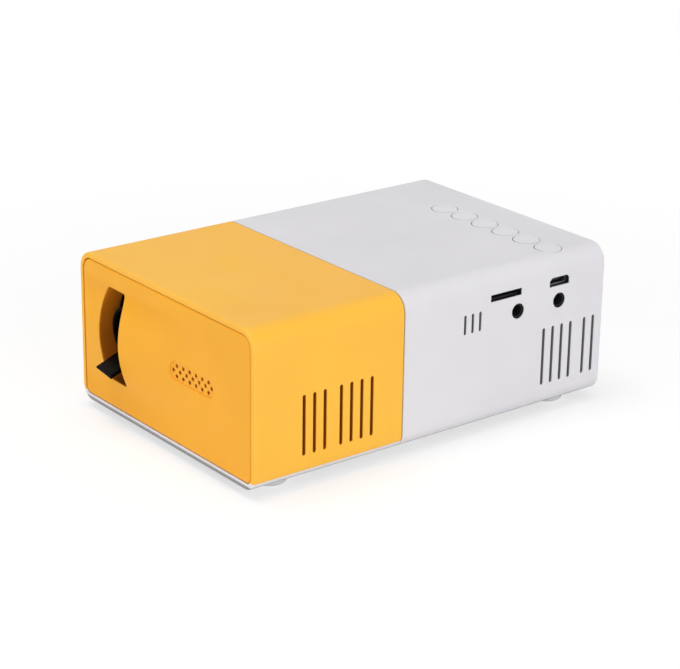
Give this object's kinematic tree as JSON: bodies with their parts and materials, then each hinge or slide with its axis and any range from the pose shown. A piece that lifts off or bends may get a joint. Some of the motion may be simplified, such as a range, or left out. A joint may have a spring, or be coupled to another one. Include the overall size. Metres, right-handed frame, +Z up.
{
  "type": "home projector",
  "caption": "Small two-colour box projector with a tall lens window, focus lever, top keys, vents, side and back sockets, and its light engine, fan and speaker inside.",
  "frame": {"origin": "middle of the part's footprint, on the surface that its feet stand on", "axes": "-Y out of the lens, +Y to the back with the sockets, +X to the side with the card slot and jacks, +Z up"},
  "size_m": [0.086, 0.1306, 0.048],
  "materials": {
    "yellow_shell": "fine satin, warm yellow",
    "yellow_panel": "fine satin, warm yellow",
    "white_shell": "fine satin, cool white",
    "white_tray": "satin, cool white",
    "white_key": "satin, cool white",
    "pale_rubber": "soft, pale grey",
    "black_plastic": "semi-matt black",
    "grey_plastic": "matt dark grey",
    "optic_glass": "clear, coated",
    "lcd_glass": "dark, polished",
    "ir_plastic": "dark red, glossy",
    "brass": "turned",
    "steel": "plated screws",
    "socket_metal": "nickel-plated shell",
    "aluminium": "extruded, bare",
    "board_green": "solder mask",
    "led_yellow": "phosphor dome",
    "chip_black": "moulded",
    "capacitor_sleeve": "sleeve",
    "ribbon_amber": "polyimide",
    "lead_red": "sleeve",
    "mesh_black": "fine mesh",
    "paper_cone": "treated paper",
    "magnet_plate": "plated"
  },
  "bodies": {
    "casing": {"bottom_tray": "white_tray", "front_cover": "yellow_shell", "rear_cover": "white_shell", "front_panel": "yellow_panel", "back_panel": "white_shell", "ir_window": "ir_plastic", "foot_front_left": "pale_rubber", "foot_front_right": "pale_rubber", "foot_back_left": "pale_rubber", "foot_back_right": "pale_rubber", "tripod_insert": "brass", "case_screws": "steel", "key_switches": "chip_black", "lens_mount": "grey_plastic", "lens_mount_screws": "steel", "light_box": "grey_plastic", "light_box_cover": "grey_plastic", "front_fresnel": "optic_glass", "lcd_panel": "lcd_glass", "rear_fresnel": "optic_glass", "heat_glass": "optic_glass", "condenser_lens": "optic_glass", "led_board": "aluminium", "led_chip": "led_yellow", "heat_sink": "aluminium", "engine_screws": "steel", "main_board": "board_green", "board_screws": "steel", "card_socket": "socket_metal", "micro_usb_socket": "socket_metal", "headphone_jack": "black_plastic", "av_jack": "black_plastic", "hdmi_socket": "socket_metal", "usb_socket": "socket_metal", "ir_receiver": "chip_black", "board_chips": "chip_black", "capacitors": "capacitor_sleeve", "lcd_ribbon": "ribbon_amber", "grille_mesh": "mesh_black", "speaker_frame": "black_plastic", "speaker_cone": "paper_cone", "speaker_magnet": "magnet_plate", "speaker_lead": "lead_red", "fan_frame": "black_plastic", "fan_screws": "steel"},
    "focus": {"focus_ring": "black_plastic", "focus_lever": "black_plastic"},
    "lens_carrier": {"lens_tube": "black_plastic", "lens_retaining_ring": "black_plastic", "front_lens": "optic_glass", "middle_lens": "optic_glass", "rear_lens": "optic_glass", "lens_spacer": "black_plastic"},
    "fan": {"fan_rotor": "black_plastic"},
    "key_1_body": {"key_1": "white_key"},
    "key_2_body": {"key_2": "white_key"},
    "key_3_body": {"key_3": "white_key"},
    "key_4_body": {"key_4": "white_key"},
    "key_5_body": {"key_5": "white_key"},
    "key_6_body": {"key_6": "white_key"}
  },
  "joints": [
    {"name": "focus_turn", "type": "hinge", "parent": "casing", "child": "focus", "pos_m": [-0.0249, -0.04975, 0.0266], "axis": [0, 1, 0], "range_deg": [-4, 24]},
    {"name": "focus_slide", "type": "slide", "parent": "casing", "child": "lens_carrier", "axis": [0, -1, 0], "range_m": [-0.00029, 0.00171]},
    {"name": "fan_spin", "type": "hinge", "parent": "casing", "child": "fan", "pos_m": [0.0371, 0.05065, 0.0192], "axis": [1, 0, 0], "continuous": true},
    {"name": "key_1_press", "type": "slide", "parent": "casing", "child": "key_1_body", "axis": [0, 0, -1], "range_m": [0, 0.0007], "stiffness_N_per_m": 500, "springref_m": -0.0005},
    {"name": "key_2_press", "type": "slide", "parent": "casing", "child": "key_2_body", "axis": [0, 0, -1], "range_m": [0, 0.0007], "stiffness_N_per_m": 500, "springref_m": -0.0005},
    {"name": "key_3_press", "type": "slide", "parent": "casing", "child": "key_3_body", "axis": [0, 0, -1], "range_m": [0, 0.0007], "stiffness_N_per_m": 500, "springref_m": -0.0005},
    {"name": "key_4_press", "type": "slide", "parent": "casing", "child": "key_4_body", "axis": [0, 0, -1], "range_m": [0, 0.0007], "stiffness_N_per_m": 500, "springref_m": -0.0005},
    {"name": "key_5_press", "type": "slide", "parent": "casing", "child": "key_5_body", "axis": [0, 0, -1], "range_m": [0, 0.0007], "stiffness_N_per_m": 500, "springref_m": -0.0005},
    {"name": "key_6_press", "type": "slide", "parent": "casing", "child": "key_6_body", "axis": [0, 0, -1], "range_m": [0, 0.0007], "stiffness_N_per_m": 500, "springref_m": -0.0005}
  ],
  "couplings": [
    {"joint": "focus_turn", "follows": "focus_slide", "rad_per_m": 244.34}
  ]
}
